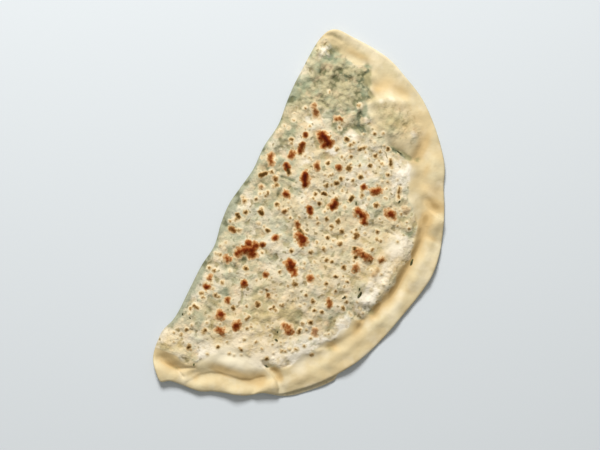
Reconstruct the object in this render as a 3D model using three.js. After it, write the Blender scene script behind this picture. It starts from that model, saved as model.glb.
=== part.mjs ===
// Qutab: a thin round of dough folded over chopped greens, pressed shut along its curved rim
// and baked dry on a griddle. It is one solid, lying on its flatter side.
//
// Millimetres, +Z up. X runs along the folded edge and Y from the fold towards the pressed rim.
// The origin is the middle of the part's box, on the surface that it rests on.

import * as THREE from "three";
import { mergeVertices } from "three/addons/utils/BufferGeometryUtils.js";

// Heights above the resting surface, and the widths over which they change.
const RIM_THICKNESS = 2.5; // two sheets of dough pressed together
const THINNEST = 1.1; // the deepest creases leave about this much
const FLOOR_SOFTNESS = 0.4; // how gently they level out there
const FILLED_THICKNESS = 7.2; // the same two sheets with the greens between them
const SHOULDER_WIDTH = 8.5; // steep slope from the pressed rim up to the filled part
const SHOULDER_SHARE = 0.42; // how much of the filling's height it takes
const SPREAD_WIDTH = 34; // the filling thins out over this distance
const RIM_SWELLING = 0.8; // the rim's soft roll outside the filling
const RIM_SWELLING_AT = 6.5;
const RIM_SWELLING_FROM = -105; // it fades out towards the left end
const RIM_SWELLING_FULL = -60;
const RIM_ROUNDING = 1.4; // how far in the thin edge curves over
const FOLD_ROUNDING = 5; // the same at the fold, where one sheet turns over
const EDGE_LEVEL = 0.45; // height of the outermost line, as a share of the thickness there
const LIFT_START = 7; // how far outside the filling the rim has left the surface fully
const LIFT_END = 3; // how far inside the filling the underside is flat again
const FOLD_REACH = 12; // the fold's rounding fades out within this distance of the fold line
const FOLD_HALF_LENGTH = 98;
const FOLD_FADE = 26; // shorter, and the rows of the top would fold over each other near the corners

// Steps of the surface.
const STEPS_PER_KNOT = 3; // along the outline
const TOP_ROWS = 17; // from the middle of the top out to its rounded edge
const BOTTOM_ROWS = 6;
const EDGE_ROWS = 3; // from the top, or from the underside, to the outermost line
const DISTANCE_STEPS = 6; // per knot, for measuring distances to a border
const ROW_CROWDING = 0.35; // how much closer the rows lie towards the edge
const MIDDLE = new THREE.Vector2(0, 40);

// Outline of the half-moon, anticlockwise from above: [x, y], with y measured from the fold line.
// The first row is the fold, the second the far corner, and the rest is the pressed rim.
const OUTLINE = [
  [-115, 3], [-112.5, -1], [-106, -3.8], [-94, -5], [-80, -5.3], [-65, -4.6], [-50, -3],
  [-35, -4.8], [-20, -4.5], [-8, -6.3], [4, -8], [16, -7.2], [30, -4.8], [43, -6.3], [60, -6.4],
  [76, -6.6], [88, -9.4], [97, -9.5], [105, -7.3], [111, -2.2], [114.7, 2.8], [112, 7.2],
  [111, 14], [109.5, 26], [106.5, 32], [104, 39], [101.9, 46], [98.8, 52.6], [94.4, 58.2],
  [92.2, 63], [90.2, 68.3], [82.2, 77.8], [73.3, 86.4], [63, 94.2], [50, 101.7], [35, 107.3],
  [18, 111.6], [2, 115.2], [-12, 116.7], [-26, 114.7], [-38, 110.6], [-50, 105.6], [-60, 100.1],
  [-72, 94.6], [-84, 85.1], [-94.4, 74.3], [-102, 64], [-108, 51.2], [-113, 39], [-115, 26],
  [-115.3, 13],
];

// Border of the filled part. It runs outside the fold, because the filling reaches into it.
const FILLING = [
  [-104.5, -4], [-84, -10], [-40, -8], [0, -11], [40, -10], [78, -11], [96, -10.5], [101, -4],
  [101.5, 6], [101.5, 14], [100.5, 21], [97.5, 26.5], [95.8, 32], [94.8, 38], [93.6, 45],
  [90, 51], [85, 56.5], [80, 62], [72, 69], [63, 75.5], [54, 81], [45, 86], [34, 91.5],
  [22, 95.5], [10, 99.5], [-6, 101], [-24, 100.7], [-38, 98], [-47, 93.5], [-57, 86.5],
  [-67, 81.5], [-78, 77], [-88, 70.5], [-95, 61], [-99.5, 50], [-102, 40], [-104, 31],
  [-104.5, 22], [-104.5, 10],
];

// Soft mounds and hollows of the top: [x, y, reach along x, reach along y, height].
const MOUNDS = [
  [-82, 57, 9.5, 13, 2.4], [-88, 20, 14, 11, -0.8], [-54, 34, 15, 16, 0.7],
  [-14, 30, 20, 17, 0.6], [28, 38, 18, 17, 0.7], [68, 32, 12, 16, 0.6], [-36, 66, 17, 12, 0.7],
  [63, 66, 11, 9, 0.8], [-8, 88, 15, 8, 1], [45, 54, 7, 11, -0.9], [66, 4, 14, 7, 0.5],
  [-97, 40, 4, 4, -0.9], [-80, 70, 4, 3, 0.8], [-76, 77.5, 9, 2.5, -0.8], [88, 52, 5, 5, -1],
  [88, 33, 5, 16, 0.5], [95, 36, 4, 14, 0.5], [101, 34, 4, 13, 0.4], [-100, 34, 6, 3, 0.6],
  [40, 82, 7, 4, 0.8], [-60, 74, 7, 6, 0.7], [100, 3, 4, 9, -0.7], [-101, 1, 4.5, 4, 0.8],
  [-65, 94, 4, 4, 0.5], [-3, 107, 6, 4, 0.3], [-39, 104.5, 4, 4, 0.4],
];

// Places where the pressed rim stands off the surface: [x, y, reach, height].
const LIFTS = [
  [-113, 2, 9, 1.8], [-108, 52, 13, 1.3], [-72, 93, 9, 1], [-41, 107, 6, 2], [-10, 113, 12, 1.5],
  [22, 107, 9, 1], [54, 98, 10, 1.7], [70, 85, 7, 1], [90, 63, 7, 2.2], [101, 42, 8, 1.5],
  [108, 20, 7, 1.7], [112, 0, 9, 2.4],
];

// Grooves that fingers pressed round the filling, then puckers and ridges across the rim:
// [line of places, height, reach on the left of the line's way, reach on its right].
const CREASES = [
  [[[-47, 95], [-38, 99], [-26, 101], [-12, 101.6], [3, 101.3], [12, 99.8], [22, 96],
    [34, 92]], -1.5, 3, 2.8],
  [[[86, 54.5], [91, 49], [92.9, 44], [94, 38], [95, 32], [97, 27], [100.5, 22.5],
    [107, 17.4]], -0.9, 3.4, 1],
  [[[-88, 71.5], [-78, 78], [-67, 82.5], [-58, 88]], -0.7, 3, 4],
  [[[-105, 10], [-105, 27]], -0.4, 2, 3.4],
  [[[-47.5, 94], [-45.3, 100], [-44.3, 108]], -1.3, 5, 1.4],
  [[[-30.8, 101], [-30.3, 112]], -0.6, 3.2, 1.6],
  [[[-58.5, 87], [-57, 96]], -0.6, 4, 3],
  [[[2, 103], [4, 114]], -0.4, 3.5, 3.5],
  [[[27, 79], [29.4, 85], [30.5, 91]], -1.2, 2.8, 1.2],
  [[[56, 75], [52.5, 81], [50.5, 86]], -0.9, 2.8, 1.6],
  [[[68, 79], [66, 88]], -0.4, 3, 4],
  [[[103.6, -4], [104, 8]], -1.1, 2.4, 0.8],
  [[[105, 10.5], [103, 14], [99, 16]], 0.7, 2.6, 2],
  [[[98, 54.5], [91, 58], [88.6, 65]], 1.1, 2.8, 1.8],
  [[[79, 53], [81.5, 57.5], [84, 65]], -1.2, 4, 1.3],
  [[[-68, 61], [-66.6, 67], [-66.2, 74], [-68, 79]], -1.3, 2.8, 1.1],
  [[[-104, 29], [-98, 30], [-93, 34], [-87, 38]], -0.9, 2, 1.2],
  [[[-77, 36], [-70, 39], [-67.5, 45]], -0.9, 2, 1.6],
  [[[-86, 42], [-91, 47], [-94.5, 55]], 0.9, 2.2, 2.8],
];

// The greens underneath show as low uneven waves: [waves per mm along x, along y, phase, height].
const UNEVENNESS = [
  [0.043, 0.021, 0.4, 0.28], [-0.026, 0.052, 1.9, 0.26], [0.071, -0.048, 3.1, 0.2],
  [0.018, 0.087, 4.4, 0.18], [0.094, 0.063, 5.2, 0.14],
];

const CRUST_COLOUR = 0xd9c9a0;
const CRUST_ROUGHNESS = 0.8;

const { lerp, smoothstep, clamp } = THREE.MathUtils;

function closedCurve(knots) {
  const points = knots.map(([x, y]) => new THREE.Vector3(x, y, 0));
  return new THREE.CatmullRomCurve3(points, true, "centripetal");
}

// How far x, y is from the straight stretch that joins a and b.
function stretchDistance(x, y, ax, ay, bx, by) {
  const lengthSquared = (bx - ax) ** 2 + (by - ay) ** 2;
  const share = clamp(((x - ax) * (bx - ax) + (y - ay) * (by - ay)) / lengthSquared, 0, 1);
  return Math.hypot(x - lerp(ax, bx, share), y - lerp(ay, by, share));
}

// Distance to a line through places, and the side: 1 on its left to -1 on its right.
function lineDistance(x, y, line) {
  let distance = Infinity;
  let side = 0;
  for (let i = 0; i + 1 < line.length; i++) {
    const [[ax, ay], [bx, by]] = [line[i], line[i + 1]];
    const here = stretchDistance(x, y, ax, ay, bx, by);
    if (here >= distance) continue;
    distance = here;
    const offset = ((bx - ax) * (y - ay) - (by - ay) * (x - ax)) / Math.hypot(bx - ax, by - ay);
    side = offset / Math.max(here, 1e-6);
  }
  return [distance, side];
}

// A border's signed distance as a function of x and y: positive inside.
function insideDistance(knots) {
  const steps = knots.length * DISTANCE_STEPS;
  const points = closedCurve(knots).getPoints(steps);
  return (x, y) => {
    let nearest = Infinity;
    let inside = false;
    for (let i = 0; i < steps; i++) {
      const a = points[i];
      const b = points[i + 1];
      nearest = Math.min(nearest, stretchDistance(x, y, a.x, a.y, b.x, b.y));
      const crosses = a.y > y !== b.y > y;
      if (crosses && x < a.x + ((y - a.y) / (b.y - a.y)) * (b.x - a.x)) inside = !inside;
    }
    return inside ? nearest : -nearest;
  };
}

const fillingDistance = insideDistance(FILLING);

// A bell of height 1 over a distance given in its own reach.
const bell = (distance) => Math.exp(-distance * distance);

function mounds(x, y) {
  return MOUNDS.reduce((sum, [cx, cy, reachX, reachY, height]) => {
    return sum + height * bell(Math.hypot((x - cx) / reachX, (y - cy) / reachY));
  }, 0);
}

function unevenness(x, y) {
  return UNEVENNESS.reduce((sum, [perX, perY, phase, height]) => {
    return sum + height * Math.sin(2 * Math.PI * (perX * x + perY * y) + phase);
  }, 0);
}

function lift(x, y) {
  return LIFTS.reduce((sum, [cx, cy, reach, height]) => {
    return sum + height * bell(Math.hypot(x - cx, y - cy) / reach);
  }, 0);
}

function creases(x, y) {
  return CREASES.reduce((sum, [line, height, leftReach, rightReach]) => {
    const [distance, side] = lineDistance(x, y, line);
    const reach = lerp(rightReach, leftReach, smoothstep(side, -1, 1));
    return sum + height * bell(distance / reach);
  }, 0);
}

// Underside: flat below the filling, and off the surface where the rim lifts.
function bottomHeight(x, y) {
  const onSurface = smoothstep(fillingDistance(x, y), -LIFT_START, LIFT_END);
  return lift(x, y) * (1 - onSurface);
}

function rimSwelling(x, inside) {
  const roll = bell((inside + RIM_SWELLING_AT) / (RIM_SWELLING_AT / 2));
  return RIM_SWELLING * roll * smoothstep(x, RIM_SWELLING_FROM, RIM_SWELLING_FULL);
}

// Top: the underside plus the thickness of dough and filling, which levels out softly where
// creases would cut through it.
function topHeight(x, y) {
  const inside = fillingDistance(x, y);
  const shoulder = SHOULDER_SHARE * smoothstep(inside, 0, SHOULDER_WIDTH);
  const filled = shoulder + (1 - SHOULDER_SHARE) * smoothstep(inside, 0, SPREAD_WIDTH);
  const filling = (FILLED_THICKNESS - RIM_THICKNESS + unevenness(x, y)) * filled;
  const formed = RIM_THICKNESS + filling + rimSwelling(x, inside) + mounds(x, y) + creases(x, y);
  const above = Math.log1p(Math.exp((formed - THINNEST) / FLOOR_SOFTNESS));
  return bottomHeight(x, y) + THINNEST + FLOOR_SOFTNESS * above;
}

// 1 along the folded edge, 0 along the pressed rim.
function foldShare(x, y) {
  const lengthwise = smoothstep(FOLD_HALF_LENGTH - Math.abs(x), 0, FOLD_FADE);
  return lengthwise * (1 - smoothstep(y, 0, FOLD_REACH));
}

// A point of the rounded edge, where turn goes from 1 at the top to -1 at the underside.
function edgePoint(rim, inward, turn) {
  const angle = (turn * Math.PI) / 2;
  const rounding = lerp(RIM_ROUNDING, FOLD_ROUNDING, foldShare(rim.x, rim.y));
  const inset = rounding * (1 - Math.cos(angle));
  const x = rim.x + inward.x * inset;
  const y = rim.y + inward.y * inset;
  const level = lerp(bottomHeight(x, y), topHeight(x, y), EDGE_LEVEL);
  const face = turn > 0 ? topHeight(x, y) : bottomHeight(x, y);
  return new THREE.Vector3(x, y, lerp(level, face, Math.abs(Math.sin(angle))));
}

// A point of the top or the underside, a share of the way from the middle to the rounded edge.
function facePoint(rim, inward, share, heightAt) {
  const edge = edgePoint(rim, inward, 1);
  const x = lerp(MIDDLE.x, edge.x, share);
  const y = lerp(MIDDLE.y, edge.y, share);
  return new THREE.Vector3(x, y, heightAt(x, y));
}

// The sphere's rows go from the middle of the top, round the edge, to the middle of the
// underside, and its columns go round the outline.
function qutabGeometry() {
  const outline = closedCurve(OUTLINE);
  const columns = OUTLINE.length * STEPS_PER_KNOT;
  const rows = TOP_ROWS + 2 * EDGE_ROWS + BOTTOM_ROWS;
  const geometry = new THREE.SphereGeometry(1, columns, rows);
  const position = geometry.getAttribute("position");
  const crowded = (share) => share * (1 + ROW_CROWDING * (1 - share));
  for (let column = 0; column <= columns; column++) {
    const along = (column % columns) / columns;
    const rim = outline.getPoint(along);
    const tangent = outline.getTangent(along);
    const inward = new THREE.Vector2(-tangent.y, tangent.x).normalize();
    for (let row = 0; row <= rows; row++) {
      const edgeRow = row - TOP_ROWS;
      let point;
      if (edgeRow < 0) {
        point = facePoint(rim, inward, crowded(row / TOP_ROWS), topHeight);
      } else if (edgeRow <= 2 * EDGE_ROWS) {
        point = edgePoint(rim, inward, 1 - edgeRow / EDGE_ROWS);
      } else {
        const share = (rows - row) / BOTTOM_ROWS;
        point = facePoint(rim, inward, crowded(share), bottomHeight);
      }
      position.setXYZ(row * (columns + 1) + column, point.x, point.y, point.z);
    }
  }
  geometry.deleteAttribute("normal");
  geometry.deleteAttribute("uv");
  const closed = mergeVertices(geometry);
  closed.computeBoundingBox();
  const middle = closed.boundingBox.getCenter(new THREE.Vector3());
  closed.translate(-middle.x, -middle.y, -closed.boundingBox.min.z);
  closed.computeVertexNormals();
  return closed;
}

const crust = new THREE.MeshStandardMaterial({
  color: CRUST_COLOUR,
  roughness: CRUST_ROUGHNESS,
  metalness: 0,
});

const qutab = new THREE.Mesh(qutabGeometry(), crust);
qutab.name = "qutab";

const part = new THREE.Group();
part.add(qutab);

export default part;
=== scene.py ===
"""Looks of a qutab: a thin round of wheat dough folded over chopped greens, pressed shut along
its curved rim and baked dry on a griddle.

The dough is one closed shell that stands for the CAD solid of the same form. Shapes are worked
out in millimetres, with x along the folded edge and y from the fold line towards the rim, as in
the CAD, and go into the mesh in metres round the middle of the part's box.
"""

import math
import random

import bmesh
import bpy
import numpy as np
from mathutils import Matrix, Vector, noise


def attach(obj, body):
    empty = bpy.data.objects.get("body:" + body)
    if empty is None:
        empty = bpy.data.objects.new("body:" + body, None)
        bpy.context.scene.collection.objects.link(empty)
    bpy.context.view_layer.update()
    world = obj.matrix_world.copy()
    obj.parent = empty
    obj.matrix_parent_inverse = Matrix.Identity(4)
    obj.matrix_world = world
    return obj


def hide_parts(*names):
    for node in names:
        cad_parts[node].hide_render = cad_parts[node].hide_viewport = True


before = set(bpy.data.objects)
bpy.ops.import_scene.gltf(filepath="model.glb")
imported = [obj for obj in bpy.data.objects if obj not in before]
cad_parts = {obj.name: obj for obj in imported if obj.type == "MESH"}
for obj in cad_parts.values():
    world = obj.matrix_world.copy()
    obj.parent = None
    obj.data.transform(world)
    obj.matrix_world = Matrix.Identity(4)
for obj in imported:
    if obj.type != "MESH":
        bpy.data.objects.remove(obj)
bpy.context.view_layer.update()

MM = 0.001
HALF_WAVE = 0.5  # a bump or a spot is half a wave of its noise

# ---------------------------------------------------------------------------------------------
# The form that the CAD solid has, in mm
# ---------------------------------------------------------------------------------------------

RIM_THICKNESS = 2.5  # two sheets of dough pressed together
THINNEST = 1.1  # the deepest folds leave about this much
THINNEST_SOFTNESS = 0.4  # and level out this gently
FILLED_THICKNESS = 7.2  # the same two sheets with the greens between them
SHOULDER_WIDTH = 8.5  # steep slope from the pressed rim up to the filled part
SHOULDER_SHARE = 0.42  # how much of the filling's height it takes
SPREAD_WIDTH = 34  # the filling thins out over this distance
EDGE_LEVEL = 0.45  # height of the outermost line, as a share of the thickness there
RIM_SWELLING = 0.8  # the rim's soft roll outside the filling
RIM_SWELLING_AT = 6.5  # how far outside
RIM_SWELLING_X = -105, -60  # it starts at the first x and is full from the second
LIFT_START = 7  # how far outside the filling the rim has left the surface fully
LIFT_END = 3  # how far inside the filling the underside is flat again
FOLD_ROUNDING = 5  # how far in the fold curves over
FOLD_REACH = 12  # the rounding ends this far from the fold line
FOLD_HALF_LENGTH = 98  # and this far along it, each way from x = 0
FOLD_FADE = 26  # the fold turns into the pressed rim over this distance
OUTLINE_STEPS = 40  # points on the outline for each of its knots
BORDER_STEPS = 6  # and on the borders inside it

# Outline, anticlockwise from above: the fold first, then the pressed rim.
OUTLINE = [
    (-115, 3), (-112.5, -1), (-106, -3.8), (-94, -5), (-80, -5.3), (-65, -4.6), (-50, -3),
    (-35, -4.8), (-20, -4.5), (-8, -6.3), (4, -8), (16, -7.2), (30, -4.8), (43, -6.3), (60, -6.4),
    (76, -6.6), (88, -9.4), (97, -9.5), (105, -7.3), (111, -2.2), (114.7, 2.8), (112, 7.2),
    (111, 14), (109.5, 26), (106.5, 32), (104, 39), (101.9, 46), (98.8, 52.6), (94.4, 58.2),
    (92.2, 63), (90.2, 68.3), (82.2, 77.8), (73.3, 86.4), (63, 94.2), (50, 101.7), (35, 107.3),
    (18, 111.6), (2, 115.2), (-12, 116.7), (-26, 114.7), (-38, 110.6), (-50, 105.6), (-60, 100.1),
    (-72, 94.6), (-84, 85.1), (-94.4, 74.3), (-102, 64), (-108, 51.2), (-113, 39), (-115, 26),
    (-115.3, 13),
]
CORNERS = (0, 20, 32, 44)  # the knots where the surface grid has its corners

# Border of the filled part. It runs outside the fold, because the filling reaches into it.
FILLING = [
    (-104.5, -4), (-84, -10), (-40, -8), (0, -11), (40, -10), (78, -11), (96, -10.5), (101, -4),
    (101.5, 6), (101.5, 14), (100.5, 21), (97.5, 26.5), (95.8, 32), (94.8, 38), (93.6, 45),
    (90, 51), (85, 56.5), (80, 62), (72, 69), (63, 75.5), (54, 81), (45, 86), (34, 91.5),
    (22, 95.5), (10, 99.5), (-6, 101), (-24, 100.7), (-38, 98), (-47, 93.5), (-57, 86.5),
    (-67, 81.5), (-78, 77), (-88, 70.5), (-95, 61), (-99.5, 50), (-102, 40), (-104, 31),
    (-104.5, 22), (-104.5, 10),
]

# Grooves that the fingers pressed round the filling: a line of places, depth, and how far it
# reaches on the left of the line's way and on the right.
GROOVES = [
    ([(-47, 95), (-38, 100), (-26, 102.4), (-12, 103), (3, 102.6), (12, 100.8), (22, 97),
      (34, 92.5)], 1.5, 3, 2.8),
    ([(86, 54.5), (91, 49), (92.9, 44), (94, 38), (95, 32), (97, 27), (100.5, 22.5),
      (107, 17.4)], 0.75, 3.4, 1),
    ([(-88, 71.5), (-78, 78), (-67, 82.5), (-58, 88)], 0.7, 3, 4),
    ([(-105, 10), (-105, 27)], 0.4, 2, 3.4),
]

# Soft mounds and hollows of the top: x, y, reach along x, reach along y, height.
MOUNDS = [
    # The filling.
    (-88, 20, 14, 11, -0.8), (-54, 34, 15, 16, 0.7), (-14, 30, 20, 17, 0.6),
    (28, 38, 18, 17, 0.7), (68, 32, 12, 16, 0.6), (-36, 66, 17, 12, 0.7), (63, 66, 11, 9, 0.8),
    (-8, 88, 15, 8, 1), (45, 54, 7, 11, -0.9), (66, 4, 14, 7, 0.5), (73, 72.5, 6, 5, 0.6),
    (40, 82, 7, 4, 0.8), (-60, 74, 7, 6, 0.7),
    # The dome near the left end, and round it.
    (-82, 57, 9.5, 13, 2.4), (-97, 40, 4, 4, -0.9), (-99, 52, 3, 8, -0.5),
    (-98.5, 34, 2, 2.6, 0.6), (-91.8, 36.8, 1.7, 2.6, 0.6), (-95.4, 38.6, 1.7, 3.2, -0.6),
    (-80, 70, 4, 3, 0.8), (-76, 77.5, 9, 2.5, -0.8), (-100, 34, 6, 3, 0.6),
    # Round the deep pinch on the right, and above it.
    (88, 52, 5, 5, -0.5), (87.5, 62, 3, 4, 0.8), (77, 63, 3.5, 4, 0.7), (88, 33, 5, 16, 0.5),
    (95, 36, 4, 14, 0.5), (101, 34, 4, 13, 0.4),
    # The tips and the rim.
    (104, 3, 2.4, 8, -0.8), (-101, 1, 4.5, 4, 0.8), (-65, 94, 4, 4, 0.5), (-3, 107, 6, 4, 0.3),
    (-37, 104, 5, 6, 1),
]

# Places where the pressed rim stands off the surface: x, y, reach, height.
LIFTS = [
    (-113, 2, 9, 1.8), (-108, 52, 13, 1.3), (-72, 93, 9, 1), (-41, 107, 6, 2),
    (-10, 113, 12, 1.5), (22, 107, 9, 1), (54, 98, 10, 1.7), (70, 85, 7, 1), (90, 63, 7, 2.2),
    (101, 42, 8, 1.5), (108, 20, 7, 1.7), (112, 0, 9, 2.4),
]

# Low waves that the greens underneath make: waves per mm along x, along y, phase, height.
UNEVENNESS = [
    (0.043, 0.021, 0.4, 0.28), (-0.026, 0.052, 1.9, 0.26), (0.071, -0.048, 3.1, 0.2),
    (0.018, 0.087, 4.4, 0.18), (0.094, 0.063, 5.2, 0.14),
]

# ---------------------------------------------------------------------------------------------
# What the hands and the griddle left on it, and some painted light and shade, in mm
# ---------------------------------------------------------------------------------------------

# Puckers, creases and small ridges: a line of places, height, and how far it reaches on the
# left of the line's way and on the right.
FOLDS = [
    # Puckers across the rim, and others across its shoulder.
    ([(-47.5, 94), (-45.3, 100), (-44.3, 108)], -1.8, 4.4, 1),
    ([(-30.8, 101), (-30.3, 112)], -0.6, 3.2, 1.6),
    ([(-58.5, 87), (-57, 96)], -0.6, 4, 3),
    ([(2, 103), (4, 114)], -0.4, 3.5, 3.5),
    ([(27, 79), (29.4, 85), (30.5, 91)], -1.2, 2.8, 1.2),
    ([(23.4, 88), (25, 97)], -1, 2.4, 1.2),
    ([(56, 75), (52.5, 81), (50.5, 86)], -0.9, 2.8, 1.6),
    ([(68, 79), (66, 88)], -0.4, 3, 4),
    ([(-26.4, 88), (-25.4, 96)], -0.9, 2.2, 0.8),
    # Creases and a ridge at the tips.
    ([(103.6, -4), (104, 8)], -1.1, 2.4, 0.8),
    ([(98.2, 16.8), (104, 8), (106, 13)], -0.8, 0.9, 0.9),
    ([(105, 10.5), (103, 14), (99, 16)], 0.7, 2.6, 2),
    ([(-109, -1), (-110.6, 3), (-110, 8)], -0.7, 1.6, 1.2),
    # The lip of the deep pinch on the right, and its crease.
    ([(97.5, 55.2), (92.9, 56), (88.4, 58.4), (85.2, 61.5)], 1.2, 1.3, 3.2),
    ([(78.6, 52.6), (80, 56.6), (81.2, 59.8), (83.4, 63), (86.8, 66.4), (90, 68)], -2.4, 3, 1),
    ([(78.8, 52.4), (79.2, 55)], -1.1, 0.8, 0.6),
    # The filling's swollen border.
    ([(97.5, -3), (98, 6), (98, 14), (96, 21)], 0.9, 4, 3),
    ([(33, 90.8), (40, 87.5), (46, 83.8), (52, 80.2), (57, 77)], 0.8, 2, 4),
    ([(-32, 96), (-20, 98.6), (-4, 97.4), (10, 95.8), (18, 93)], 1.2, 2.2, 4.5),
    # The dome near the left end: ridges on it, and creases round it.
    ([(-68, 61), (-66.6, 67), (-66.2, 74), (-68, 79)], -1.3, 2.8, 1.1),
    ([(-103.5, 28), (-100.5, 30), (-98, 29.2)], -0.8, 1.3, 1.2),
    ([(-97, 31), (-94, 33.8), (-91.5, 33)], -0.9, 1.3, 1.2),
    ([(-90.5, 35), (-88.6, 38.6), (-85.5, 37.2)], -0.9, 1.4, 1.2),
    ([(-77, 36), (-70, 39), (-67.5, 45)], -0.9, 2, 1.6),
    ([(-86, 41), (-91.5, 47), (-94.5, 56)], 1.5, 1.8, 4.5),
    ([(-78, 44), (-74, 52), (-74.5, 60)], 0.5, 2, 2),
    ([(-88, 58), (-82, 62), (-79, 68)], -0.6, 1.6, 1.6),
    # Stalks under the dough, and fine creases in it.
    ([(-23.5, 11.5), (-24, 15), (-24.6, 19.5)], -0.9, 0.6, 0.6),
    ([(28.5, 15), (31, 12.5), (34, 11.5), (38, 12.7)], -0.8, 0.6, 0.6),
    ([(44, 20), (48, 23), (53, 24.5)], -0.8, 0.6, 0.6),
    ([(-71.5, 7), (-72.8, 13), (-71.5, 19)], -0.7, 0.7, 0.7),
    ([(79, 6), (80.5, 10)], -0.7, 1.2, 1.2),
    ([(-22.3, 81), (-22.6, 86)], -0.6, 0.7, 0.7),
    ([(-20, 68), (-23, 76), (-22, 84)], -0.5, 1.2, 1.2),
    ([(-1.6, 93.6), (0, 91.2), (3, 91.2), (4.5, 93.6), (3, 96), (0, 96), (-1.6, 93.6)],
     -0.35, 0.6, 0.6),
]

# Border of the part where the greens press lumps through the thin dough. The dough is smooth
# outside it.
GRAINY = [
    (-106, -14), (-40, -14), (0, -16), (40, -15), (97, -16), (98, -4), (97.3, 7), (97.6, 13),
    (95.2, 15.5), (90.5, 20), (86, 26), (84, 34), (83.5, 42), (84.5, 47.5), (81.2, 53),
    (78.5, 57), (75, 62.5), (70, 68), (65, 71), (60, 73.5), (55, 76.5), (52, 79), (48, 82),
    (43, 84.5), (38, 87), (33, 89), (28, 91.5), (24, 93.8), (17, 96.8), (8, 98.5), (-5, 99.2),
    (-16, 99), (-24.5, 98), (-30, 95.8), (-36, 94.5), (-41, 89.5), (-46, 85.5), (-53, 81.5),
    (-60, 77.5), (-66, 76), (-68.5, 66), (-70, 57), (-73, 48), (-78, 41.5), (-84, 37),
    (-88, 39.5), (-89.6, 36.4), (-92.4, 35.4), (-93.6, 32.8), (-97.4, 32.6), (-98.4, 30),
    (-102, 30.6), (-104.4, 28.4), (-102.5, 24), (-103, 17), (-104.5, 11), (-107, 6), (-108, 0),
    (-106, -6),
]

# Blisters that browned on the griddle: from x, y to x, y, width, and how dark they went.
LONG_BLISTERS = [
    (-55.5, 22.8, -53.2, 27.6, 4.6, 0.85), (-53, 26.2, -51, 26.2, 2.8, 0.76),
    (-30.4, 24.2, -26.2, 26.6, 3.5, 0.9), (24, 12, 21.4, 16, 4, 0.8),
    (27.4, 9.6, 24.2, 11.6, 3.4, 0.72), (19.4, 16.4, 24.4, 17, 3.6, 0.84),
    (19.6, 12.6, 20, 14.4, 2.8, 0.9), (2.5, 37.6, 4.5, 40.4, 4.2, 0.8),
    (-1.5, 34, 0.6, 38.4, 1.7, 0.6), (-3.4, 32.7, -1.3, 34.1, 2.5, 0.7),
    (19.4, 39.6, 21.4, 42.4, 4.4, 0.79), (21.6, 42.6, 22.9, 44.2, 2.8, 0.8),
    (53, 53.4, 54.4, 56.2, 3.9, 0.56), (-25, 61, -24.2, 65.4, 3.4, 0.8),
    (-24, 66, -21.8, 66.8, 3, 0.72), (-23.5, 46.8, -21.6, 46.6, 3.6, 0.86),
    (-4.6, 70.4, -3.4, 79, 3.6, 0.55), (-5.2, 69, -4.6, 70.6, 1.9, 0.77),
    (-4.6, 74.6, -3.6, 75.6, 2.4, 0.75), (-3.2, 79.4, -2.9, 80.2, 2, 0.64),
    (3.8, 74, 5.4, 75, 2.9, 0.56), (5, 74.6, 5.8, 74.8, 1.6, 0.8),
    (64.2, 27.7, 65.8, 28.2, 3.4, 0.7), (72.2, 19.4, 72.4, 21.6, 3.4, 0.6),
    (-32.5, 77.8, -32.4, 79.4, 3.7, 0.73), (-41.4, 66, -39.7, 63.8, 3, 0.72),
    (-48, 76.6, -43.2, 78.6, 1.6, 0.58), (-14.4, 35.4, -12.5, 36.4, 2.6, 0.92),
    (-11.6, 36.9, -9.8, 37.8, 2, 0.5), (-45.8, 14.8, -42, 15.4, 2.5, 0.9),
    (-30.8, 11.8, -30, 13, 2.6, 0.93), (-29.4, 13.6, -27.3, 15.4, 1.4, 0.8),
    (-38.4, 12, -36.8, 12.3, 2.5, 0.8), (-39.2, 27.6, -36.9, 29, 2.5, 0.62),
    (-31.6, 1.3, -28, 3.5, 2.6, 0.62), (-21.2, 3.2, -18.9, 1.2, 1.7, 0.86),
    (40.8, 20.6, 42, 21, 2.9, 0.92), (16.3, -0.4, 16.7, 1.4, 2.3, 0.88),
    (15.8, 2.6, 15, 5, 1.5, 0.52), (7.8, -0.6, 8.2, 0.8, 1.8, 0.86),
    (8.7, 0.8, 10.2, -0.2, 1, 0.6), (0.3, 10.4, 0.7, 11.6, 1.9, 0.88),
    (75.8, 12.6, 77.4, 12.3, 1.7, 0.6), (88, 8.3, 89.6, 8.6, 1.3, 0.71),
    (66, 3, 66, 0.6, 1.7, 0.62), (28.8, 69.4, 31, 70.6, 2.5, 0.58),
    (47.6, 69.6, 49, 70.4, 2.7, 0.5), (-13, 66.3, -11.5, 66.4, 2.2, 0.67),
    (-60, 47.6, -58.3, 45.9, 1.8, 0.64), (-60.5, 64.6, -57.5, 66.2, 1.6, 0.62),
    (-68.9, 10.6, -64.4, 14.2, 2.5, 0.52), (-68.9, 28, -67.6, 26.2, 2.5, 0.62),
    (-31, 54.4, -29.6, 54.2, 1.9, 0.87), (-26, 38.3, -26, 39.8, 1.7, 0.9),
    (-7.2, 86.6, -5.6, 85.2, 2.4, 0.56), (0, 86.2, 3, 85.8, 2.6, 0.42),
    (-11.8, 9.6, -10.1, 9.4, 1.6, 0.56), (57.6, 31.9, 59.5, 31.2, 1.2, 0.6),
    (51, 61.4, 53, 61.8, 1.8, 0.56),
]

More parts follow.
